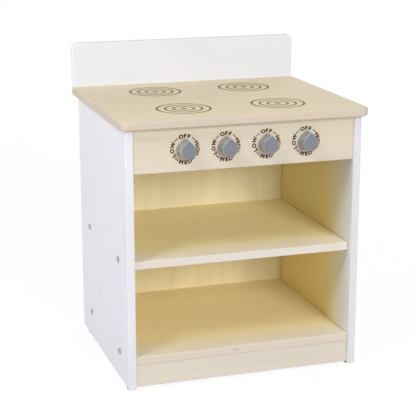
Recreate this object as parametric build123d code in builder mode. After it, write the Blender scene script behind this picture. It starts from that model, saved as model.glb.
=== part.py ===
# Toy stove for a nursery: a flat-pack cabinet of boards with two open compartments,
# four turning knobs on the control panel and a backsplash behind the counter.
# Millimetres. +X is to the right seen from the front, +Y to the back, +Z up, floor at z = 0,
# and the origin is under the middle of the whole stove.
from build123d import *
from math import cos, radians, sin, sqrt
import os

# Boards of the cabinet
carcass_width = 480.0
board_thick = 16.0
side_depth = 400.0
side_height = 519.0
side_corner_radius = 10.0
side_edge_radius = 2.0
back_thick = 12.0
back_inset = 2.0
back_bottom_gap = 8.0
shelf_edge_radius = 1.5

# Countertop and backsplash
counter_thick = 16.5
counter_side_overhang = 12.0
counter_front_overhang = 16.0
counter_back_overhang = 3.0
counter_corner_radius = 20.0
counter_edge_radius = 3.0
splash_width = 499.0
splash_height = 110.0
splash_thick = 16.0
splash_corner_radius = 12.0
splash_edge_radius = 2.0

# Control panel, shelves and toe kick, measured from the front edges and foot of the side panels
control_height = 87.5
control_recess = 2.0
middle_shelf_top = 257.0
middle_shelf_recess = 13.0
bottom_shelf_top = 65.5
bottom_shelf_recess = 3.0
toe_kick_recess = 6.0
toe_kick_floor_gap = 3.0

# Knobs
knob_spacing = 82.0
knob_below_counter = 44.0
knob_radius = 15.5
knob_tip_radius = 4.0
knob_thick = 25.0
knob_gap = 2.5
knob_front_radius = 1.0
knob_back_radius = 0.5
knob_rest_turns = (0.0, 1.0, 5.0, 3.0)
knob_play = 0.3
shaft_fit = 0.1

# Knob screws, inserts, washers and bushes
knob_screw_radius = 2.5
knob_screw_length = 30.0
knob_screw_head_radius = 4.75
knob_screw_head_height = 3.3
knob_screw_head_round = 1.2
insert_radius = 4.0
insert_length = 12.0
washer_radius = 6.0
washer_thick = 1.0
bush_radius = 5.0
bush_flange_radius = 8.0

# Fit of a fastener in its bore, and the air left at the end of a blind bore
bore_fit = 0.05
bore_slack = 0.5

# Shelf bolts and their barrel nuts, placed from the front edges of the side panels
bolt_places = (69.0, 315.0)
bolt_radius = 3.0
bolt_length = 50.0
bolt_head_radius = 6.5
bolt_head_height = 2.5
bolt_head_round = 0.8
bolt_bore_clearance = 0.2
bolt_socket_flats = 4.0
bolt_socket_depth = 3.0
barrel_nut_radius = 5.0
barrel_nut_length = 12.0
barrel_nut_slot_width = 1.6
barrel_nut_slot_depth = 1.5
bolt_tip_inside_nut = 1.0

# Wood dowels
dowel_radius = 4.0
dowel_length = 30.0
dowel_in_face = 10.0
dowel_chamfer = 1.0
shelf_dowel_places = (110.0, 275.0)
counter_dowel_places = (92.0, 298.0)
control_dowel_margin = 16.0
toe_kick_dowel_places = (-150.0, 0.0, 150.0)

# Cam locks and cam bolts
cam_radius = 7.5
cam_height = 12.0
cam_from_edge = 24.0
cam_places = (60.0, 330.0)
cam_face_thick = 3.0
cam_pocket_past_centre = 4.0
cam_pocket_clearance = 0.4
cam_cross_length = 8.0
cam_cross_width = 1.6
cam_cross_depth = 2.0
cam_bolt_thread_radius = 2.5
cam_bolt_thread_length = 11.0
cam_bolt_shank_radius = 3.0
cam_bolt_shank_length = 17.0
cam_bolt_neck_radius = 2.0
cam_bolt_neck_length = 4.0
cam_bolt_head_radius = 3.3
cam_bolt_head_length = 5.0
cam_bolt_bore_clearance = 0.5

# Wood screws of the backsplash and of the back panel
wood_screw_radius = 2.0
wood_screw_head_radius = 4.0
wood_screw_point = 4.0
backsplash_screw_length = 40.0
backsplash_screw_places = (-200.0, -67.0, 67.0, 200.0)
back_screw_length = 35.0
back_screw_places = (-180.0, 0.0, 180.0)
cross_recess_length = 4.0
cross_recess_width = 0.9
cross_recess_depth = 1.2

# Nail-on glides under the side panels, placed from their front edges
glide_radius = 7.5
glide_height = 3.0
glide_round = 1.0
glide_places = (16.0, 352.0)
nail_radius = 1.0
nail_length = 12.0

# Heights
panel_foot = glide_height
counter_under = panel_foot + side_height
middle_shelf_under = panel_foot + middle_shelf_top - board_thick
bottom_shelf_under = panel_foot + bottom_shelf_top - board_thick
control_bottom = counter_under - control_height
control_middle = counter_under - control_height / 2
toe_kick_bottom = panel_foot + toe_kick_floor_gap
knob_axis_height = counter_under - knob_below_counter

# Depths, with the knob fronts and the back of the backsplash the same distance from the origin
knob_reach = knob_gap + knob_thick - control_recess
total_depth = knob_reach + side_depth + counter_back_overhang + splash_thick
side_front = knob_reach - total_depth / 2
side_back = side_front + side_depth
counter_front = side_front - counter_front_overhang
counter_back = side_back + counter_back_overhang
splash_back = counter_back + splash_thick
control_front = side_front + control_recess
control_back = control_front + board_thick
back_outside = side_back - back_inset
back_inside = back_outside - back_thick
toe_kick_front = side_front + toe_kick_recess

# Widths
outer_half = carcass_width / 2
inner_half = outer_half - board_thick
inner_width = 2 * inner_half
side_middle = outer_half - board_thick / 2
counter_width = carcass_width + 2 * counter_side_overhang
barrel_nut_place = inner_half - (bolt_length - board_thick) - bolt_tip_inside_nut + barrel_nut_radius
knob_count = len(knob_rest_turns)
knob_places = [knob_spacing * (number - (knob_count - 1) / 2) for number in range(knob_count)]

# Bores that several boards share
dowel_bore = dowel_radius + bore_fit
dowel_face_depth = dowel_in_face + bore_slack
dowel_edge_depth = dowel_length - dowel_in_face + bore_slack
bolt_bore = bolt_radius + bolt_bore_clearance
bolt_bore_depth = bolt_length - board_thick + bore_slack
nut_bore = barrel_nut_radius + bore_fit
nut_bore_depth = board_thick / 2 + barrel_nut_length / 2
cam_bore = cam_radius + bore_fit
cam_bolt_bore = cam_bolt_shank_radius + cam_bolt_bore_clearance
cam_thread_bore = cam_bolt_thread_radius + bore_fit
cam_thread_depth = cam_bolt_thread_length + bore_slack
wood_screw_bore = wood_screw_radius + bore_fit

SIDES = (-1, 1)
RIGHT = Vector(1, 0, 0)
BACK = Vector(0, 1, 0)
UP = Vector(0, 0, 1)


def outward(side):
    """Direction from the middle of the stove to its left (-1) or right (1) side."""
    return RIGHT * side


def facing(point, direction):
    """Plane at a point of a surface, with the surface's outward direction as its normal."""
    return Plane(origin=point, z_dir=direction)


def front_view(y):
    """Upright plane across the stove, drawn as seen from the front: extruding comes forwards."""
    return Plane(origin=(0, y, 0), x_dir=RIGHT, z_dir=-BACK)


def side_view(x):
    """Upright plane from front to back: extruding goes to the right."""
    return Plane(origin=(x, 0, 0), x_dir=BACK, z_dir=RIGHT)


def bore(planes, radius, depth):
    """Blind bores into the piece that is being made, one from each plane."""
    with Locations(*planes):
        Hole(radius, depth=depth)


def save(piece, name):
    piece.label = name
    export_step(piece, f"parts/{name}.step")


os.makedirs("parts", exist_ok=True)

# Where each kind of fastener enters a board: a point and the way the surface there faces


def shelf_bolt_planes(side, x, direction):
    heights = (middle_shelf_under + board_thick / 2, bottom_shelf_under + board_thick / 2)
    return [facing((side * x, side_front + place, height), direction)
            for height in heights for place in bolt_places]


def shelf_dowel_planes(side, direction):
    heights = (middle_shelf_under + board_thick / 2, bottom_shelf_under + board_thick / 2)
    return [facing((side * inner_half, side_front + place, height), direction)
            for height in heights for place in shelf_dowel_places]


def control_dowel_planes(side, direction):
    heights = (control_bottom + control_dowel_margin, counter_under - control_dowel_margin)
    return [facing((side * inner_half, control_front + board_thick / 2, height), direction)
            for height in heights]


def control_cam_bolt_plane(side, direction):
    return facing((side * inner_half, control_front + board_thick / 2, control_middle), direction)


def toe_kick_end_plane(side, direction):
    middle = (toe_kick_bottom + bottom_shelf_under) / 2
    return facing((side * inner_half, toe_kick_front + board_thick / 2, middle), direction)


def toe_kick_top_planes(direction):
    return [facing((place, toe_kick_front + board_thick / 2, bottom_shelf_under), direction)
            for place in toe_kick_dowel_places]


def counter_planes(side, places, direction):
    return [facing((side * side_middle, side_front + place, counter_under), direction)
            for place in places]


def counter_cam_planes(side):
    height = counter_under - cam_from_edge
    return [facing((side * inner_half, side_front + place, height), outward(-side))
            for place in cam_places]


def control_cam_plane(side):
    return facing((side * (inner_half - cam_from_edge), control_back, control_middle), BACK)


def glide_planes(side):
    return [facing((side * side_middle, side_front + place, panel_foot), -UP)
            for place in glide_places]


# Side panels: upright boards with eased edges and a rounded foot at the back


def side_panel(side):
    with BuildPart() as panel:
        with BuildSketch(side_view(inner_half if side > 0 else -outer_half)):
            with Locations((side_front + side_depth / 2, panel_foot + side_height / 2)):
                Rectangle(side_depth, side_height)
            back_foot = vertices().group_by(Axis.Y)[0].sort_by(Axis.X)[-1]
            fillet(back_foot, side_corner_radius)
        extrude(amount=board_thick)
        outline = panel.faces().filter_by(Axis.X).edges().group_by(Axis.Z)
        fillet([edge for group in outline[:-1] for edge in group], side_edge_radius)
        bore(shelf_bolt_planes(side, outer_half, outward(side)), bolt_bore, board_thick)
        bore(shelf_dowel_planes(side, outward(-side)), dowel_bore, dowel_face_depth)
        bore(control_dowel_planes(side, outward(-side)), dowel_bore, dowel_face_depth)
        bore([control_cam_bolt_plane(side, outward(-side))], cam_thread_bore, cam_thread_depth)
        bore([toe_kick_end_plane(side, outward(-side))], dowel_bore, dowel_face_depth)
        bore(counter_planes(side, counter_dowel_places, UP), dowel_bore, dowel_edge_depth)
        bore(counter_planes(side, cam_places, UP), cam_bolt_bore, cam_from_edge)
        bore(counter_cam_planes(side), cam_bore, cam_height + bore_slack)
        bore(glide_planes(side), nail_radius + bore_fit, nail_length + bore_slack)
    return panel.part


save(side_panel(-1), "left_side_panel")
save(side_panel(1), "right_side_panel")

# Countertop: rounded at its two front corners and along its three free edges

with BuildPart() as countertop:
    with BuildSketch(Plane.XY.offset(counter_under)):
        with Locations((0, (counter_front + counter_back) / 2)):
            Rectangle(counter_width, counter_back - counter_front)
        fillet(vertices().group_by(Axis.Y)[0], counter_corner_radius)
    extrude(amount=counter_thick)
    rims = countertop.faces().filter_by(Axis.Z).edges().group_by(Axis.Y)
    fillet([edge for group in rims[:-1] for edge in group], counter_edge_radius)
    for side in SIDES:
        bore(counter_planes(side, counter_dowel_places, -UP), dowel_bore, dowel_face_depth)
        bore(counter_planes(side, cam_places, -UP), cam_thread_bore, cam_thread_depth)
    splash_screw_height = counter_under + counter_thick / 2
    bore([facing((place, counter_back, splash_screw_height), BACK) for place in backsplash_screw_places],
         wood_screw_bore, backsplash_screw_length - splash_thick + bore_slack)
save(countertop.part, "countertop")

# Backsplash: stands behind the countertop, down to its underside, with rounded top corners

with BuildPart() as backsplash:
    with BuildSketch(front_view(splash_back)):
        with Locations((0, counter_under + splash_height / 2)):
            Rectangle(splash_width, splash_height)
        fillet(vertices().group_by(Axis.Y)[-1], splash_corner_radius)
    extrude(amount=splash_thick)
    rims = backsplash.faces().filter_by(Axis.Y).edges().group_by(Axis.Z)
    fillet([edge for group in rims[1:] for edge in group], splash_edge_radius)
    with Locations(*[facing((place, splash_back, splash_screw_height), BACK)
                     for place in backsplash_screw_places]):
        CounterSinkHole(wood_screw_bore, wood_screw_head_radius + bore_fit, depth=splash_thick,
                        counter_sink_angle=90)
save(backsplash.part, "backsplash")

# Control panel: the board under the counter that carries the knobs

with BuildPart() as control_panel:
    with BuildSketch(front_view(control_back)):
        with Locations((0, control_middle)):
            Rectangle(inner_width, control_height)
    extrude(amount=board_thick)
    lower_front = control_panel.edges().filter_by(Axis.X).group_by(Axis.Z)[0].sort_by(Axis.Y)[0]
    fillet(lower_front, shelf_edge_radius)
    bore([facing((place, control_front, knob_axis_height), -BACK) for place in knob_places],
         bush_radius + bore_fit, board_thick)
    for side in SIDES:
        bore(control_dowel_planes(side, outward(side)), dowel_bore, dowel_edge_depth)
        bore([control_cam_bolt_plane(side, outward(side))], cam_bolt_bore, cam_from_edge)
        bore([control_cam_plane(side)], cam_bore, cam_height + bore_slack)
save(control_panel.part, "control_panel")

# Shelves: boards between the side panels, with eased front edges


def shelf(underside, recess):
    front = side_front + recess
    with BuildPart() as board:
        with BuildSketch(Plane.XY.offset(underside)):
            with Locations((0, (front + back_inside) / 2)):
                Rectangle(inner_width, back_inside - front)
        extrude(amount=board_thick)
        fillet(board.edges().filter_by(Axis.X).group_by(Axis.Y)[0], shelf_edge_radius)
        middle = underside + board_thick / 2
        for side in SIDES:
            end = side * inner_half
            bore([facing((end, side_front + place, middle), outward(side)) for place in bolt_places],
                 bolt_bore, bolt_bore_depth)
            bore([facing((end, side_front + place, middle), outward(side))
                  for place in shelf_dowel_places], dowel_bore, dowel_edge_depth)
            bore([facing((side * barrel_nut_place, side_front + place, underside), -UP)
                  for place in bolt_places], nut_bore, nut_bore_depth)
        bore([facing((place, back_inside, middle), BACK) for place in back_screw_places],
             wood_screw_bore, back_screw_length - back_thick + bore_slack)
    return board


middle_shelf = shelf(middle_shelf_under, middle_shelf_recess)
save(middle_shelf.part, "middle_shelf")
bottom_shelf = shelf(bottom_shelf_under, bottom_shelf_recess)
with bottom_shelf:
    bore(toe_kick_top_planes(-UP), dowel_bore, dowel_face_depth)
save(bottom_shelf.part, "bottom_shelf")

# Toe kick: the board that closes the front under the bottom shelf

with BuildPart() as toe_kick:
    with BuildSketch(front_view(toe_kick_front + board_thick)):
        with Locations((0, (toe_kick_bottom + bottom_shelf_under) / 2)):
            Rectangle(inner_width, bottom_shelf_under - toe_kick_bottom)
    extrude(amount=board_thick)
    fillet(toe_kick.edges().filter_by(Axis.X).group_by(Axis.Z)[0], shelf_edge_radius)
    bore(toe_kick_top_planes(UP), dowel_bore, dowel_edge_depth)
    for side in SIDES:
        bore([toe_kick_end_plane(side, outward(side))], dowel_bore, dowel_edge_depth)
save(toe_kick.part, "toe_kick")

# Back panel: closes the back between the side panels and is screwed to both shelves

back_bottom = panel_foot + back_bottom_gap
shelf_middles = (middle_shelf_under + board_thick / 2, bottom_shelf_under + board_thick / 2)
back_screw_planes = [facing((place, back_outside, height), BACK)
                     for height in shelf_middles for place in back_screw_places]
with BuildPart() as back_panel:
    with BuildSketch(front_view(back_outside)):
        with Locations((0, (back_bottom + counter_under) / 2)):
            Rectangle(inner_width, counter_under - back_bottom)
    extrude(amount=back_thick)
    with Locations(*back_screw_planes):
        CounterSinkHole(wood_screw_bore, wood_screw_head_radius + bore_fit, depth=back_thick,
                        counter_sink_angle=90)
save(back_panel.part, "back_panel")

# Shelf bolts: low round heads with a hexagon socket, drawn with the head outwards along +Z

with BuildPart() as shelf_bolt:
    Cylinder(bolt_head_radius, bolt_head_height, align=(Align.CENTER, Align.CENTER, Align.MIN))
    fillet(shelf_bolt.edges().sort_by(Axis.Z)[-1], bolt_head_round)
    Cylinder(bolt_radius, bolt_length, align=(Align.CENTER, Align.CENTER, Align.MAX))
    with BuildSketch(Plane.XY.offset(bolt_head_height)):
        RegularPolygon(bolt_socket_flats / 2, 6, major_radius=False)
    extrude(amount=-bolt_socket_depth, mode=Mode.SUBTRACT)

with BuildPart() as shelf_bolts:
    for side in SIDES:
        with Locations(*shelf_bolt_planes(side, outer_half, outward(side))):
            add(shelf_bolt.part)
save(shelf_bolts.part, "shelf_bolts")

# Barrel nuts: round steel nuts across the shelf bolts, with a slot to turn them in their bores

with BuildPart() as barrel_nut:
    Cylinder(barrel_nut_radius, barrel_nut_length)
    with Locations(facing((0, 0, 0), RIGHT)):
        Cylinder(bolt_radius + bore_fit, 2 * barrel_nut_radius, mode=Mode.SUBTRACT)
    with BuildSketch(Plane.XY.offset(-barrel_nut_length / 2)):
        Rectangle(2 * barrel_nut_radius, barrel_nut_slot_width)
    extrude(amount=barrel_nut_slot_depth, mode=Mode.SUBTRACT)

with BuildPart() as barrel_nuts:
    for side in SIDES:
        for height in shelf_middles:
            with Locations(*[(side * barrel_nut_place, side_front + place, height)
                             for place in bolt_places]):
                add(barrel_nut.part)
save(barrel_nuts.part, "barrel_nuts")

# Wood dowels: the shallow end of each is in the face of one board, the rest in the edge of another

with BuildPart() as wood_dowel:
    with Locations((0, 0, -dowel_in_face)):
        Cylinder(dowel_radius, dowel_length, align=(Align.CENTER, Align.CENTER, Align.MIN))
    chamfer(wood_dowel.edges().filter_by(GeomType.CIRCLE), dowel_chamfer)


def dowels(planes):
    """Dowels whose long end points along each plane's normal."""
    with BuildPart() as group:
        with Locations(*planes):
            add(wood_dowel.part)
    return group.part


save(dowels([plane for side in SIDES for plane in shelf_dowel_planes(side, outward(-side))]),
     "shelf_dowels")
save(dowels([plane for side in SIDES for plane in control_dowel_planes(side, outward(-side))]),
     "control_panel_dowels")
save(dowels([plane for side in SIDES for plane in counter_planes(side, counter_dowel_places, -UP)]),
     "countertop_dowels")
save(dowels([toe_kick_end_plane(side, outward(-side)) for side in SIDES] + toe_kick_top_planes(-UP)),
     "toe_kick_dowels")

# Cam bolts: screwed into one board, with a necked head that a cam lock in the next board pulls on

with BuildPart() as cam_bolt:
    with BuildSketch(Plane.XZ):
        with BuildLine():
            neck_end = cam_bolt_shank_length + cam_bolt_neck_length
            Polyline((0, -cam_bolt_thread_length),
                     (cam_bolt_thread_radius, -cam_bolt_thread_length),
                     (cam_bolt_thread_radius, 0),
                     (cam_bolt_shank_radius, 0),
                     (cam_bolt_shank_radius, cam_bolt_shank_length),
                     (cam_bolt_neck_radius, cam_bolt_shank_length),
                     (cam_bolt_neck_radius, neck_end),
                     (cam_bolt_head_radius, neck_end),
                     (cam_bolt_head_radius, neck_end + cam_bolt_head_length),
                     (0, neck_end + cam_bolt_head_length),
                     close=True)
        make_face()
    revolve(axis=Axis.Z)

with BuildPart() as cam_bolts:
    for side in SIDES:
        with Locations(*counter_planes(side, cam_places, -UP),
                       control_cam_bolt_plane(side, outward(-side))):
            add(cam_bolt.part)
save(cam_bolts.part, "cam_bolts")

# Cam locks: round locks flush with the board, with a pocket for the bolt head and a cross recess


def cam_lock(plane):
    """Cam lock in a board's face: the plane's normal leaves the face, its X points to the bolt."""
    with BuildPart() as lock:
        with BuildSketch(plane):
            Circle(cam_radius)
        extrude(amount=-cam_height)
        pocket_start = -cam_pocket_past_centre
        pocket_width = 2 * (cam_bolt_head_radius + cam_pocket_clearance)
        with BuildSketch(plane.offset(-cam_face_thick)):
            with Locations(((pocket_start + cam_radius) / 2, 0)):
                Rectangle(cam_radius - pocket_start, pocket_width)
        extrude(amount=cam_face_thick - cam_height, mode=Mode.SUBTRACT)
        with BuildSketch(plane):
            Rectangle(cam_cross_length, cam_cross_width)
            Rectangle(cam_cross_width, cam_cross_length)
        extrude(amount=-cam_cross_depth, mode=Mode.SUBTRACT)
    return lock.part


with BuildPart() as cam_locks:
    for side in SIDES:
        for place in counter_cam_planes(side):
            add(cam_lock(Plane(origin=place.origin, x_dir=UP, z_dir=outward(-side))))
        place = control_cam_plane(side)
        add(cam_lock(Plane(origin=place.origin, x_dir=outward(side), z_dir=BACK)))
save(cam_locks.part, "cam_locks")

# Countersunk wood screws, drawn with the head at z = 0 and the point downwards


def wood_screw(length):
    with BuildPart() as screw:
        with BuildSketch(Plane.XZ):
            with BuildLine():
                Polyline((0, 0),
                         (wood_screw_head_radius, 0),
                         (wood_screw_radius, wood_screw_radius - wood_screw_head_radius),
                         (wood_screw_radius, wood_screw_point - length),
                         (0, -length),
                         close=True)
            make_face()
        revolve(axis=Axis.Z)
        with BuildSketch(Plane.XY):
            Rectangle(cross_recess_length, cross_recess_width)
            Rectangle(cross_recess_width, cross_recess_length)
        extrude(amount=-cross_recess_depth, mode=Mode.SUBTRACT)
    return screw.part


with BuildPart() as backsplash_screws:
    with Locations(*[facing((place, splash_back, splash_screw_height), BACK)
                     for place in backsplash_screw_places]):
        add(wood_screw(backsplash_screw_length))
save(backsplash_screws.part, "backsplash_screws")

with BuildPart() as back_panel_screws:
    with Locations(*back_screw_planes):
        add(wood_screw(back_screw_length))
save(back_panel_screws.part, "back_panel_screws")

# Glides: round plastic feet nailed into the lower edges of the side panels


def glide(plane):
    with BuildPart() as foot:
        with BuildSketch(plane):
            Circle(glide_radius)
        extrude(amount=glide_height)
        fillet(foot.edges().sort_by(Axis.Z)[0], glide_round)
        with BuildSketch(plane):
            Circle(nail_radius)
        extrude(amount=-nail_length)
    return foot.part


for side, side_name in zip(SIDES, ("left", "right")):
    for plane, end_name in zip(glide_planes(side), ("front", "back")):
        save(glide(plane), f"{end_name}_{side_name}_glide")

# Knobs: thick drops with a blunt square tip, which points up at rest, each turned a little to the right


def knob(x, turn):
    rest = radians(turn)
    seat = Plane(origin=(x, control_front - knob_gap, knob_axis_height),
                 x_dir=(cos(rest), 0, -sin(rest)), z_dir=-BACK)
    flank = knob_radius / sqrt(2)
    with BuildPart() as drop:
        with BuildSketch(seat):
            with BuildLine():
                ThreePointArc((flank, flank), (0, -knob_radius), (-flank, flank))
                Polyline((-flank, flank), (0, 2 * flank), (flank, flank))
            make_face()
            fillet(vertices().sort_by(Axis.Y)[-1], knob_tip_radius)
        extrude(amount=knob_thick)
        fillet(drop.faces().sort_by(Axis.Y)[0].edges(), knob_front_radius)
        fillet(drop.faces().sort_by(Axis.Y)[-1].edges(), knob_back_radius)
        bore([facing(seat.origin, BACK)], insert_radius + bore_fit, insert_length + bore_slack)
    return drop.part


def knob_insert(x):
    with BuildPart() as insert:
        with BuildSketch(front_view(control_front - knob_gap)):
            with Locations((x, knob_axis_height)):
                Circle(insert_radius)
                Circle(knob_screw_radius + bore_fit, mode=Mode.SUBTRACT)
        extrude(amount=insert_length)
    return insert.part


def knob_screw(x):
    seat = control_back + knob_play + washer_thick
    with BuildPart() as screw:
        with BuildSketch(front_view(seat)):
            with Locations((x, knob_axis_height)):
                Circle(knob_screw_head_radius)
        extrude(amount=-knob_screw_head_height)
        fillet(screw.edges().sort_by(Axis.Y)[-1], knob_screw_head_round)
        with BuildSketch(front_view(seat)):
            with Locations((x, knob_axis_height)):
                Circle(knob_screw_radius)
        extrude(amount=knob_screw_length)
        with BuildSketch(front_view(seat + knob_screw_head_height)):
            with Locations((x, knob_axis_height)):
                Rectangle(cross_recess_length, cross_recess_width)
                Rectangle(cross_recess_width, cross_recess_length)
        extrude(amount=cross_recess_depth, mode=Mode.SUBTRACT)
    return screw.part


def knob_washer(x):
    with BuildPart() as washer:
        with BuildSketch(front_view(control_back + knob_play + washer_thick)):
            with Locations((x, knob_axis_height)):
                Circle(washer_radius)
                Circle(knob_screw_radius + bore_fit, mode=Mode.SUBTRACT)
        extrude(amount=washer_thick)
    return washer.part


def knob_bush(x):
    with BuildPart() as bush:
        with BuildSketch(front_view(control_back)):
            with Locations((x, knob_axis_height)):
                Circle(bush_radius)
        extrude(amount=board_thick)
        with BuildSketch(front_view(control_front)):
            with Locations((x, knob_axis_height)):
                Circle(bush_flange_radius)
        extrude(amount=knob_gap - knob_play)
        with BuildSketch(front_view(control_back)):
            with Locations((x, knob_axis_height)):
                Circle(knob_screw_radius + shaft_fit)
        extrude(amount=board_thick + knob_gap, mode=Mode.SUBTRACT)
    return bush.part


for number, (place, turn) in enumerate(zip(knob_places, knob_rest_turns), start=1):
    save(knob(place, turn), f"knob_{number}")
    save(knob_insert(place), f"knob_insert_{number}")
    save(knob_screw(place), f"knob_screw_{number}")
    save(knob_washer(place), f"knob_washer_{number}")
    save(knob_bush(place), f"knob_bush_{number}")
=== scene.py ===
from math import pi, radians

import bmesh
import bpy
from mathutils import Matrix, Vector


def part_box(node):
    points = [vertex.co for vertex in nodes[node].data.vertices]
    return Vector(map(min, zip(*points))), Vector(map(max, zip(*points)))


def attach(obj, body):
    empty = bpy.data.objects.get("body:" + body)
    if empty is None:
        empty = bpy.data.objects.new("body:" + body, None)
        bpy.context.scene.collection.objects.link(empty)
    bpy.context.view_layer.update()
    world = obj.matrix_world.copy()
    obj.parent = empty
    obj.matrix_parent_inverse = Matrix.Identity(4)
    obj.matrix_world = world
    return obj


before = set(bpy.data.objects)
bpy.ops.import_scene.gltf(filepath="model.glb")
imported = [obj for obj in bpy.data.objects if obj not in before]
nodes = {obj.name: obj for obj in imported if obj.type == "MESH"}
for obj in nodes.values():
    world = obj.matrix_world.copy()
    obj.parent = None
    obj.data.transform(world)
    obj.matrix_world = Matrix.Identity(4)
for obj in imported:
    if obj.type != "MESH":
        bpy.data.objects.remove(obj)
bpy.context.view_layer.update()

# Camera: stands to the left of the stove at the height of a seated adult's eyes, looks a little
# down, and has a long lens, so that the front, the left side and the countertop all show.

camera_place = Vector((-0.8069, -2.4431, 0.9889))
camera_turn = radians(17.98)
camera_tilt = radians(14.92)
camera_lens = 110.1
camera_sensor = 36

camera = bpy.data.objects.new("camera", bpy.data.cameras.new("camera"))
camera.location = camera_place
camera.rotation_euler = (pi / 2 - camera_tilt, 0, -camera_turn)
camera.data.lens = camera_lens
camera.data.sensor_width = camera_sensor
bpy.context.scene.collection.objects.link(camera)
bpy.context.scene.camera = camera
bpy.context.scene.view_settings.view_transform = "Standard"

# Studio: a pale floor that keeps the stove's soft shadow and a white surround. A small high lamp
# shines in from the front left, and broad ones from the left, low from the front, and from behind.


def seen_share(tree):
    """1 where the camera, a reflection or a clear thing sees the surface, and 0 for its light."""
    path = tree.nodes.new("ShaderNodeLightPath")
    seen = path.outputs["Is Camera Ray"]
    for ray in ("Is Glossy Ray", "Is Transmission Ray"):
        either = tree.nodes.new("ShaderNodeMath")
        either.operation = "MAXIMUM"
        tree.links.new(seen, either.inputs[0])
        tree.links.new(path.outputs[ray], either.inputs[1])
        seen = either.outputs[0]
    return seen


floor_half = 14.0
floor_grey = 0.5
white_near = 0.9
white_starts = 1.0
white_from = 3.5
surround_light = 0.31
lamps_aim = Vector((0, 0, 0.3))

floor_shape = bmesh.new()
bmesh.ops.create_grid(floor_shape, x_segments=1, y_segments=1, size=floor_half)
floor_mesh = bpy.data.meshes.new("floor")
floor_shape.to_mesh(floor_mesh)
floor_shape.free()
floor = bpy.data.objects.new("floor", floor_mesh)
bpy.context.scene.collection.objects.link(floor)

floor_paint = bpy.data.materials.new("floor_paint")
floor_paint.use_nodes = True
tree = floor_paint.node_tree
tree.nodes.clear()
seen = seen_share(tree)
grey = tree.nodes.new("ShaderNodeMix")
grey.data_type = "RGBA"
grey.inputs[6].default_value = (floor_grey,) * 3 + (1,)
grey.inputs[7].default_value = (1, 1, 1, 1)
tree.links.new(seen, grey.inputs[0])
matte = tree.nodes.new("ShaderNodeBsdfDiffuse")
tree.links.new(grey.outputs[2], matte.inputs["Color"])
floor_point = tree.nodes.new("ShaderNodeTexCoord")
from_stove = tree.nodes.new("ShaderNodeVectorMath")
from_stove.operation = "LENGTH"
tree.links.new(floor_point.outputs["Object"], from_stove.inputs[0])
whiter_away = tree.nodes.new("ShaderNodeMapRange")
whiter_away.interpolation_type = "SMOOTHSTEP"
whiter_away.inputs["From Min"].default_value = white_starts
whiter_away.inputs["From Max"].default_value = white_from
whiter_away.inputs["To Min"].default_value = white_near
whiter_away.inputs["To Max"].default_value = 1.0
tree.links.new(from_stove.outputs["Value"], whiter_away.inputs["Value"])
white_part = tree.nodes.new("ShaderNodeMath")
white_part.operation = "MULTIPLY"
tree.links.new(seen, white_part.inputs[0])
tree.links.new(whiter_away.outputs[0], white_part.inputs[1])
plain_white = tree.nodes.new("ShaderNodeEmission")
floor_mix = tree.nodes.new("ShaderNodeMixShader")
tree.links.new(white_part.outputs[0], floor_mix.inputs[0])
tree.links.new(matte.outputs[0], floor_mix.inputs[1])
tree.links.new(plain_white.outputs[0], floor_mix.inputs[2])
floor_end = tree.nodes.new("ShaderNodeOutputMaterial")
tree.links.new(floor_mix.outputs[0], floor_end.inputs["Surface"])
floor.data.materials.append(floor_paint)

world = bpy.data.worlds.new("surround")
world.use_nodes = True
tree = world.node_tree
sky = tree.nodes["Background"]
sky.inputs["Color"].default_value = (1, 1, 1, 1)
level = tree.nodes.new("ShaderNodeMapRange")
level.inputs["To Min"].default_value = surround_light
level.inputs["To Max"].default_value = 1.0
tree.links.new(seen_share(tree), level.inputs["Value"])
tree.links.new(level.outputs[0], sky.inputs["Strength"])
bpy.context.scene.world = world


def lamp(name, place, size, power):
    """Square soft lamp aimed at the middle of the stove, which no reflection shows."""
    light = bpy.data.lights.new(name, "AREA")
    light.shape = "SQUARE"
    light.size = size
    light.energy = power
    holder = bpy.data.objects.new(name, light)
    holder.location = place
    holder.rotation_euler = (lamps_aim - Vector(place)).to_track_quat("-Z", "Y").to_euler()
    holder.visible_glossy = False
    bpy.context.scene.collection.objects.link(holder)


lamp("key_lamp", (-1.51, -1.1, 2.11), 0.6, 18)
lamp("left_lamp", (-4.23, 0.15, 1.51), 1.4, 100)
lamp("front_lamp", (0.76, -5.4, 2.28), 2.0, 256)
lamp("back_lamp", (3.35, 3.55, 0.95), 1.8, 240)

# White boards: the two side panels and the backsplash are board with a white satin coating,
# sprayed on, so it has a faint orange peel. Inside the cabinet, painted light and shade make it
# pale at the front and golden towards the back.

inner_lit_tone = (240, 244, 252)
inner_shade_tone = (250, 233, 168)
inner_shade_depth = 0.15
inner_face_from = -0.2
inner_face_to = -0.215


def linear(red, green, blue):
    """Shader colour of a screen colour given in 0 to 255."""
    return tuple((v / 255 / 12.92 if v <= 10 else ((v / 255 + 0.055) / 1.055) ** 2.4)
                 for v in (red, green, blue)) + (1,)


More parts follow.
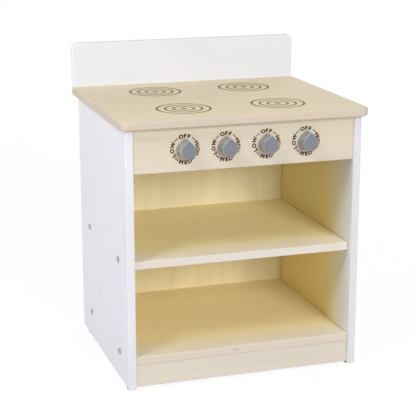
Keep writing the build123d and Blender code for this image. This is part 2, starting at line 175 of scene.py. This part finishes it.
class Field:
    """A number that varies over a surface. Arithmetic on it adds Math nodes to the finish."""

    def __init__(self, finish, socket):
        self.finish = finish
        self.socket = socket

    def math(self, operation, *terms):
        values = dict(enumerate(terms))
        return self.finish.node("Math", {"operation": operation}, values)

    def __add__(self, other):
        return self.math("ADD", self, other)

    def __radd__(self, other):
        return self.math("ADD", other, self)

    def __sub__(self, other):
        return self.math("SUBTRACT", self, other)

    def __rsub__(self, other):
        return self.math("SUBTRACT", other, self)

    def __mul__(self, other):
        return self.math("MULTIPLY", self, other)

    def __rmul__(self, other):
        return self.math("MULTIPLY", other, self)

    def __abs__(self):
        return self.math("ABSOLUTE", self)

    def __mod__(self, other):
        return self.math("FLOORED_MODULO", self, other)

    def __gt__(self, other):
        return self.math("GREATER_THAN", self, other)

    def floor(self):
        return self.math("FLOOR", self)

    def ramp(self, low, high):
        """0 below low, 1 above high and smooth between."""
        return self.finish.node("MapRange", {"interpolation_type": "SMOOTHSTEP"},
                                {"Value": self, "From Min": low, "From Max": high})


class Finish:
    """A material under way: its nodes, on the object's own coordinates."""

    def __init__(self, name):
        self.material = bpy.data.materials.new(name)
        self.material.use_nodes = True
        self.tree = self.material.node_tree
        self.tree.nodes.clear()
        self.place = self.node("TexCoord", out="Object")
        self.normal = self.node("TexCoord", out="Normal")

    def node(self, kind, settings=None, values=None, out=0):
        """Adds a node, sets it up, and gives one of its outputs, or several named in a tuple."""
        made = self.tree.nodes.new("ShaderNode" + kind)
        for name, value in (settings or {}).items():
            setattr(made, name, value)
        for name, value in (values or {}).items():
            if isinstance(value, Field):
                self.tree.links.new(value.socket, made.inputs[name])
            else:
                made.inputs[name].default_value = value
        if isinstance(out, tuple):
            return [Field(self, made.outputs[name]) for name in out]
        return Field(self, made.outputs[out]) if made.outputs else made

    def axes(self, vector):
        parts = self.node("SeparateXYZ", values={"Vector": vector}, out=("X", "Y", "Z"))
        return dict(zip("XYZ", parts))

    def noise(self, scale, detail=3.0, rough=0.5, twist=0.0, shift=(0, 0, 0)):
        """Noise with so many features per metre along X, Y and Z."""
        where = self.node("Mapping", values={"Vector": self.place, "Scale": scale,
                                             "Location": shift})
        return self.node("TexNoise", values={"Vector": where, "Scale": 1.0, "Detail": detail,
                                             "Roughness": rough, "Distortion": twist})

    def mix(self, first, second, share):
        return self.node("Mix", {"data_type": "RGBA"}, {0: share, 6: first, 7: second}, out=2)

    def bump(self, height, depth):
        return self.node("Bump", values={"Height": height, "Strength": 1.0, "Distance": depth})

    def close(self, color, rough, bump, **constants):
        """Ends in a Principled shader. Other sockets are constants, by their names."""
        values = {"Base Color": color, "Roughness": rough, "Normal": bump}
        values.update({name.replace("_", " "): value for name, value in constants.items()})
        shader = self.node("BsdfPrincipled", values=values)
        self.node("OutputMaterial", values={"Surface": shader})
        return self.material


def coat(node, finish):
    """Gives a carried-over CAD node its finish."""
    for slot in nodes[node].material_slots:
        slot.material = finish


def white_coating(name, tone):
    """White satin coating. On the faces inside the cabinet, painted light and shade go from pale at
    the front edge to golden at the back.
    """
    finish = Finish(name)
    patches = finish.noise((6, 6, 6), detail=2)
    peel = finish.noise((420, 420, 420), detail=2, rough=0.4)
    point = finish.axes(finish.place)
    facing = finish.axes(finish.normal)
    # This product is below zero on the faces that look into the cabinet
    inside = (point["X"] * facing["X"]).ramp(inner_face_from, inner_face_to)
    # Painted light and shade: the inside faces go from lit pale at the front to shaded golden
    # deeper in
    depth = (point["Y"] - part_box("left_side_panel")[0].y).ramp(0.0, inner_shade_depth)
    outer = finish.mix(linear(*[0.985 * v for v in tone]), linear(*tone), patches.ramp(0.3, 0.7))
    inner = finish.mix(linear(*inner_lit_tone), linear(*inner_shade_tone), depth)
    color = finish.mix(outer, inner, inside)
    rough = 0.36 + 0.12 * finish.noise((30, 30, 30)) + 0.05 * peel
    return finish.close(color, rough, finish.bump(peel, 0.00006),
                        Coat_Weight=0.1, Coat_Roughness=0.3)


coat("left_side_panel", white_coating("white_coating", (212, 212, 219)))
# The right panel's coating is a painted shade darker than the left panel's
coat("right_side_panel", white_coating("right_shaded_coating", (207, 206, 210)))
coat("backsplash", white_coating("backsplash_coating", (213, 214, 220)))

# Birch plywood: the countertop, control panel, shelves, toe kick and back panel. The face veneer
# has fine pores and soft flames along the grain, and the edges show the thin crossed layers.

birch_layers = 11
inner_shade_from = 0.005
inner_shade_to = 0.095
shelf_shadow_low = 0.2
shelf_shadow_high = 0.3
knot_tone = (160, 118, 90)
knots_per_metre_long = 105
knots_per_metre_high = 650
golden_shade_tone = (250, 224, 172)
golden_shade_from = 0.006
golden_shade_to = 0.002
seam_shade_tone = (176, 136, 88)
inner_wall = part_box("right_side_panel")[0].x
seam_shade_from = inner_wall - 0.0016
seam_shade_to = inner_wall - 0.0006


def birch(name, board, thick, along, face, edge_tone, seed, figured=1.0, inner=None, low_shade_tone=None,
          rear_tone=None, knot=None, golden=False):
    """Birch plywood whose thickness and face grain run along the named axes of this board.

    Figured scales the contrast of the flames. With an inner tone, painted shade turns the face
    veneer to it from the board's front edge to the back, and with a low tone the veneer is of that
    tone below the middle shelf, as painted shade. The rear tone is that of a face that looks
    backwards.
    A knot is a pin knot in the front edge, at this X and Z. Golden paints a golden shade on the
    control panel close under the countertop. End grain is a little darker than the long edges, and
    a fine golden-brown line of painted shade runs where a board meets the side panels.
    """
    finish = Finish(name)
    low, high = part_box(board)
    at = "XYZ".index(thick)
    point = finish.axes(finish.place)
    facing = abs(finish.axes(finish.normal)[thick]).ramp(0.72, 0.98)

    def stretched(length, across, through):
        """Features per metre: along the grain, across it in the veneer, and through the board."""
        return [length if axis == along else through if axis == thick else across for axis in "XYZ"]

    shift = (seed * 3.7, seed * 1.9, seed * 5.3)
    flames = finish.noise(stretched(2.1, 26, 9), detail=2.5, rough=0.55, twist=0.9, shift=shift)
    bands = finish.noise(stretched(1.1, 9, 5), detail=1.5, twist=0.4, shift=shift)
    fibres = finish.noise(stretched(14, 900, 900), detail=3, rough=0.6, shift=shift)
    pores = finish.noise(stretched(90, 2100, 2100), detail=1, shift=shift).ramp(0.66, 0.74)
    figure = (0.62 * flames + 0.38 * bands).ramp(0.3, 0.7)

    def toned(tone, share):
        return linear(*[share * v for v in tone])

    def veneer(tone):
        sheet = finish.mix(toned(tone, 1 - 0.03 * figured), toned(tone, 1 + 0.02 * figured), figure)
        sheet = finish.mix(sheet, toned(tone, 0.88), 0.2 * fibres.ramp(0.45, 0.8))
        return finish.mix(sheet, toned(tone, 0.74), 0.3 * pores)

    sheet = veneer(face)
    # Painted shade: the veneer turns golden deeper inside the cabinet
    if inner:
        inner_shade_share = (point["Y"] - low.y).ramp(inner_shade_from, inner_shade_to)
        sheet = finish.mix(sheet, veneer(inner), inner_shade_share)
    # Painted shade: the board is a shade darker below the middle shelf
    if low_shade_tone:
        above_shelf = point["Z"].ramp(shelf_shadow_low, shelf_shadow_high)
        sheet = finish.mix(veneer(low_shade_tone), sheet, above_shelf)
    if rear_tone:
        rear = finish.axes(finish.normal)["Y"] > 0.5
        sheet = finish.mix(sheet, veneer(rear_tone), rear)
    # Painted shade: a golden shade on the control panel close under the countertop's overhang
    if golden:
        under_top = point["Z"].ramp(high.z - golden_shade_from, high.z - golden_shade_to)
        sheet = finish.mix(sheet, linear(*golden_shade_tone), 0.9 * under_top)

    layer = ((point[thick] - low[at]) * (birch_layers / (high[at] - low[at]))).floor()
    crossed = layer % 2
    fuzz = finish.noise((160, 160, 160), detail=3, rough=0.65, shift=shift)
    lines = finish.noise(stretched(9, 500, 500), detail=2, shift=shift)
    long_layer = finish.mix(toned(edge_tone, 0.975), toned(edge_tone, 1.03), lines)
    end_layer = finish.mix(toned(edge_tone, 0.93), toned(edge_tone, 0.99), fuzz)
    edge = finish.mix(long_layer, end_layer, 0.55 * crossed)
    end_grain = abs(finish.axes(finish.normal)[along]).ramp(0.5, 0.9)
    edge = finish.mix(edge, toned(edge_tone, 0.925), 0.6 * end_grain)
    if knot:
        across = (point["X"] - knot[0]) * knots_per_metre_long
        up = (point["Z"] - knot[1]) * knots_per_metre_high
        knotty = (across * across + up * up).ramp(1.0, 0.1)
        edge = finish.mix(edge, linear(*knot_tone), 0.7 * knotty)

    color = finish.mix(edge, sheet, facing)
    # Painted shade: a golden-brown line where the board meets the side panels
    if board != "countertop":
        seam_shade = abs(point["X"]).ramp(seam_shade_from, seam_shade_to)
        color = finish.mix(color, linear(*seam_shade_tone), 0.75 * seam_shade)
    rough = 0.4 + 0.14 * fibres + 0.06 * crossed * (1 - facing)
    relief = 0.6 * fibres - 1.2 * pores * facing - 0.5 * crossed * (1 - facing)
    return finish.close(color, rough, finish.bump(relief, 0.00005),
                        Coat_Weight=0.12, Coat_Roughness=0.28)


coat("countertop", birch("birch_countertop", "countertop", "Z", "X",
                         (214, 200, 166), (194, 180, 164), 1, figured=0.5))
coat("control_panel", birch("birch_control_panel", "control_panel", "Y", "X",
                            (201, 191, 173), (200, 185, 171), 2, golden=True))
# The shelves and the back panel have paler tones than the countertop, painted light that lifts the
# dimmer inside of the cabinet
coat("middle_shelf", birch("birch_middle_shelf", "middle_shelf", "Z", "X",
                           (252, 242, 220), (210, 202, 192), 3, figured=0.5, inner=(255, 238, 180)))
coat("bottom_shelf", birch("birch_bottom_shelf", "bottom_shelf", "Z", "X",
                           (236, 228, 210), (206, 193, 179), 4, figured=0.5, inner=(244, 227, 180),
                           knot=(-0.018, 0.061)))
coat("toe_kick", birch("birch_toe_kick", "toe_kick", "Y", "X",
                       (208, 199, 186), (207, 193, 179), 5))
coat("back_panel", birch("birch_back_panel", "back_panel", "Y", "Z",
                         (250, 238, 204), (226, 209, 192), 6, figured=1.4,
                         low_shade_tone=(241, 228, 190), rear_tone=(216, 201, 170)))

# Burners: three rings and a dot of olive-brown ink, screen-printed on the countertop four times.
# The ink lies on the veneer as a film, thin and a little uneven.

ink_thick = 0.00008
burner_rings = (0.0526, 0.0363, 0.0204)
burner_line = 0.0050
burner_dot = 0.0066
burner_steps = 96
dot_steps = 32
burner_side = 0.098
burner_front = 0.0915
burner_back = 0.296
counter_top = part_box("countertop")[1].z
front_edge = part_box("left_side_panel")[0].y


def new_piece(name, mesh, finish, body):
    """A finished piece on its body, with its place in its mesh."""
    piece = bpy.data.objects.new(name, mesh)
    bpy.context.scene.collection.objects.link(piece)
    mesh.materials.append(finish)
    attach(piece, body)


def burner_ink():
    finish = Finish("burner_ink")
    cover = finish.noise((70, 900, 900), detail=3, rough=0.6)
    color = finish.mix(linear(108, 90, 48), linear(128, 109, 66), cover.ramp(0.3, 0.7))
    return finish.close(color, 0.5 + 0.15 * cover, finish.bump(cover, 0.00002),
                        Specular_IOR_Level=0.3)


def burner(number, x, y):
    shape = bmesh.new()
    for ring in burner_rings:
        rims = set()
        for radius in (ring - burner_line / 2, ring + burner_line / 2):
            rim = bmesh.ops.create_circle(shape, cap_ends=False, segments=burner_steps,
                                          radius=radius)
            rims.update(edge for vert in rim["verts"] for edge in vert.link_edges)
        bmesh.ops.bridge_loops(shape, edges=list(rims))
    bmesh.ops.create_circle(shape, cap_ends=True, segments=dot_steps, radius=burner_dot)
    film = bmesh.ops.extrude_face_region(shape, geom=list(shape.faces), use_keep_orig=True)
    raised = [item for item in film["geom"] if isinstance(item, bmesh.types.BMVert)]
    bmesh.ops.translate(shape, verts=raised, vec=(0, 0, ink_thick))
    bmesh.ops.translate(shape, verts=list(shape.verts), vec=(x, y, counter_top))
    bmesh.ops.recalc_face_normals(shape, faces=list(shape.faces))
    mesh = bpy.data.meshes.new(f"burner_{number}")
    shape.to_mesh(mesh)
    shape.free()
    new_piece(f"burner_{number}", mesh, ink, "cabinet")


ink = burner_ink()
burner_places = [(side * burner_side, front_edge + depth)
                 for depth in (burner_front, burner_back) for side in (-1, 1)]
for number, (x, y) in enumerate(burner_places, start=1):
    burner(number, x, y)

# Dials: OFF, HIGH, MED and LOW with a dash between them, printed in brown ink round each knob.
# The letters are bold capitals that stand on the ring, with MED upright below the knob.

knob_numbers = range(1, 5)
letter_height = 0.0071
letter_bold = 0.0006
letter_wide = 1.12
letter_steps = 6
capital_share = 0.73
least_edge = 0.00003
legend_radius = 0.0256
dash_length = 0.0096
dash_width = 0.0016
dash_turns = (43, 139, 221, 316)
panel_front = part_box("control_panel")[0].y
legend_words = (("OFF", 0, (-17, 1, 18)),
                ("HIGH", 90, (-25, -12, 2, 21)),
                ("LOW", 270, (-28, -6, 20)))
legend_below = ("MED", 180, (17, -3, -21))


def plain_letter(character):
    """Letter without thickness in the XY plane, standing on the X axis."""
    curve = bpy.data.curves.new("letter", "FONT")
    curve.body = character
    curve.align_x = "CENTER"
    curve.size = letter_height / capital_share
    curve.resolution_u = letter_steps
    holder = bpy.data.objects.new("letter", curve)
    bpy.context.scene.collection.objects.link(holder)
    evaluated = holder.evaluated_get(bpy.context.evaluated_depsgraph_get())
    mesh = bpy.data.meshes.new_from_object(evaluated)
    bpy.data.objects.remove(holder)
    bpy.data.curves.remove(curve)
    return mesh


def letter_mesh(character):
    """Bold letter of ink in the XY plane, centred on the origin."""
    mesh = plain_letter(character)
    shape = bmesh.new()
    shape.from_mesh(mesh)
    bmesh.ops.remove_doubles(shape, verts=list(shape.verts), dist=least_edge)

    # Each corner moves out along its mitre
    moves = {}
    for vert in shape.verts:
        loops = [edge.link_loops[0] for edge in vert.link_edges if edge.is_boundary]
        ahead = [loop.link_loop_next.vert.co - loop.vert.co for loop in loops]
        first, second = [Vector((way.y, -way.x, 0)).normalized() for way in ahead]
        moves[vert] = (first + second) * (letter_bold / (1 + first.dot(second)))
    for vert, move in moves.items():
        vert.co += move

    bmesh.ops.delete(shape, geom=list(shape.faces), context="FACES_KEEP_BOUNDARY")
    bmesh.ops.triangle_fill(shape, use_beauty=True, edges=list(shape.edges), normal=(0, 0, 1))
    film = bmesh.ops.extrude_face_region(shape, geom=list(shape.faces), use_keep_orig=True)
    raised = [item for item in film["geom"] if isinstance(item, bmesh.types.BMVert)]
    bmesh.ops.translate(shape, verts=raised, vec=(0, 0, ink_thick))
    bmesh.ops.translate(shape, verts=list(shape.verts), vec=(0, -letter_height / 2, -ink_thick / 2))
    bmesh.ops.recalc_face_normals(shape, faces=list(shape.faces))
    shape.to_mesh(mesh)
    shape.free()
    mesh.transform(Matrix.Scale(letter_wide, 4, (1, 0, 0)))
    return mesh


def on_dial(turn, upright=False):
    """Where a letter goes on the dial, this many degrees clockwise from the top."""
    across = Matrix.Rotation(-radians(turn), 4, "Z")
    own_turn = Matrix.Rotation(pi if upright else 0, 4, "Z")
    return across @ Matrix.Translation((0, legend_radius, 0)) @ own_turn


def legend_ink():
    finish = Finish("legend_ink")
    cover = finish.noise((900, 900, 900), detail=2)
    color = finish.mix(linear(72, 30, 2), linear(84, 40, 6), cover)
    return finish.close(color, 0.6 + 0.1 * cover, finish.bump(cover, 0.00002),
                        Specular_IOR_Level=0.0)


def legend(number, x, z):
    """The four words and dashes round one knob, whose axis is at this X and Z."""
    shape = bmesh.new()
    face_on = Matrix.Translation((x, panel_front, z)) @ Matrix.Rotation(pi / 2, 4, "X")
    letters = [(character, on_dial(middle + turn))
               for word, middle, turns in legend_words for character, turn in zip(word, turns)]
    word, middle, turns = legend_below
    letters += [(character, on_dial(middle + turn, upright=True))
                for character, turn in zip(word, turns)]
    for character, place in letters:
        mesh = letter_mesh(character)
        mesh.transform(face_on @ place)
        shape.from_mesh(mesh)
        bpy.data.meshes.remove(mesh)
    for turn in dash_turns:
        size = Matrix.Diagonal((dash_length, dash_width, ink_thick, 1))
        bmesh.ops.create_cube(shape, size=1, matrix=face_on @ on_dial(turn) @ size)
    bmesh.ops.remove_doubles(shape, verts=list(shape.verts), dist=1e-7)
    mesh = bpy.data.meshes.new(f"dial_legend_{number}")
    shape.to_mesh(mesh)
    shape.free()
    new_piece(f"dial_legend_{number}", mesh, brown_ink, "cabinet")


brown_ink = legend_ink()
for number in knob_numbers:
    low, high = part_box(f"knob_bush_{number}")
    middle = (low + high) / 2
    legend(number, middle.x, middle.z)

# Knobs: turned and cut from close-grained wood and painted satin grey. Each turns with a brass
# insert pressed into it, on a steel screw that comes through a nylon bush in the control panel.


def knob_paint():
    """Satin grey paint. Its flat front is painted darker and its sides paler, as painted shade and
    light, with a painted highlight along the eased edge.
    """
    finish = Finish("grey_knob_paint")
    peel = finish.noise((700, 700, 700), detail=3, rough=0.6)
    cloud = finish.noise((60, 60, 60), detail=2)
    mottle = (0.5 * peel + 0.5 * cloud).ramp(0.3, 0.7)
    # Painted shade on the flat front, painted light on the sides and a painted highlight on the
    # eased edge
    facing = abs(finish.axes(finish.normal)["Y"])
    front = finish.mix(linear(106, 108, 117), linear(117, 119, 127), mottle)
    side = finish.mix(linear(143, 145, 149), linear(153, 155, 158), mottle)
    color = finish.mix(side, linear(172, 175, 178), facing.ramp(0.1, 0.4))
    color = finish.mix(color, front, facing.ramp(0.8, 0.97))
    return finish.close(color, 0.3 + 0.12 * peel, finish.bump(peel, 0.00005),
                        Coat_Weight=0.5, Coat_Roughness=0.2)


def metal(name, dark, light, rough, grain):
    """Plated or cast metal with fine marks, so many to the metre."""
    finish = Finish(name)
    marks = finish.noise((grain, grain, grain), detail=3, rough=0.65)
    color = finish.mix(linear(*dark), linear(*light), marks.ramp(0.3, 0.7))
    return finish.close(color, rough + 0.15 * marks, finish.bump(marks, 0.00002), Metallic=1.0)


def plastic(name, dark, light, rough):
    """Moulded plastic with the faint grain of its tool."""
    finish = Finish(name)
    skin = finish.noise((1100, 1100, 1100), detail=2)
    color = finish.mix(linear(*dark), linear(*light), skin)
    return finish.close(color, rough + 0.1 * skin, finish.bump(skin, 0.00002))


knob_grey = knob_paint()
zinc_plate = metal("zinc_plate", (166, 172, 182), (196, 201, 209), 0.28, 500)
brass = metal("brass", (186, 148, 84), (206, 170, 104), 0.25, 600)
nylon = plastic("natural_nylon", (214, 210, 198), (224, 221, 211), 0.4)
for number in knob_numbers:
    coat(f"knob_{number}", knob_grey)
    coat(f"knob_insert_{number}", brass)
    coat(f"knob_screw_{number}", zinc_plate)
    coat(f"knob_washer_{number}", zinc_plate)
    coat(f"knob_bush_{number}", nylon)

# Flat-pack hardware: plated shelf bolts and barrel nuts, cam bolts, cast cam locks and wood
# screws. Only the bolt heads on the sides and the screw heads at the back are seen.

cast_zinc = metal("cast_zinc", (120, 122, 126), (150, 152, 156), 0.45, 260)
for hardware in ("shelf_bolts", "barrel_nuts", "cam_bolts", "backsplash_screws",
                 "back_panel_screws"):
    coat(hardware, zinc_plate)
coat("cam_locks", cast_zinc)

# Dowels: raw beech pegs, turned from split wood and glued into both boards of a joint, where
# none of them shows.


def raw_beech():
    finish = Finish("raw_beech")
    flecks = finish.noise((260, 260, 60), detail=3, rough=0.6)
    color = finish.mix(linear(196, 158, 112), linear(216, 182, 138), flecks.ramp(0.3, 0.7))
    return finish.close(color, 0.6 + 0.2 * flecks, finish.bump(flecks, 0.00008))


beech = raw_beech()
for pegs in ("shelf_dowels", "control_panel_dowels", "countertop_dowels", "toe_kick_dowels"):
    coat(pegs, beech)

# Glides: dark maroon plastic feet under the ends of the side panels, which keep the boards off
# the floor.

glide_plastic = plastic("maroon_glide_plastic", (92, 22, 28), (108, 34, 38), 0.45)
for end in ("front", "back"):
    for side in ("left", "right"):
        coat(f"{end}_{side}_glide", glide_plastic)
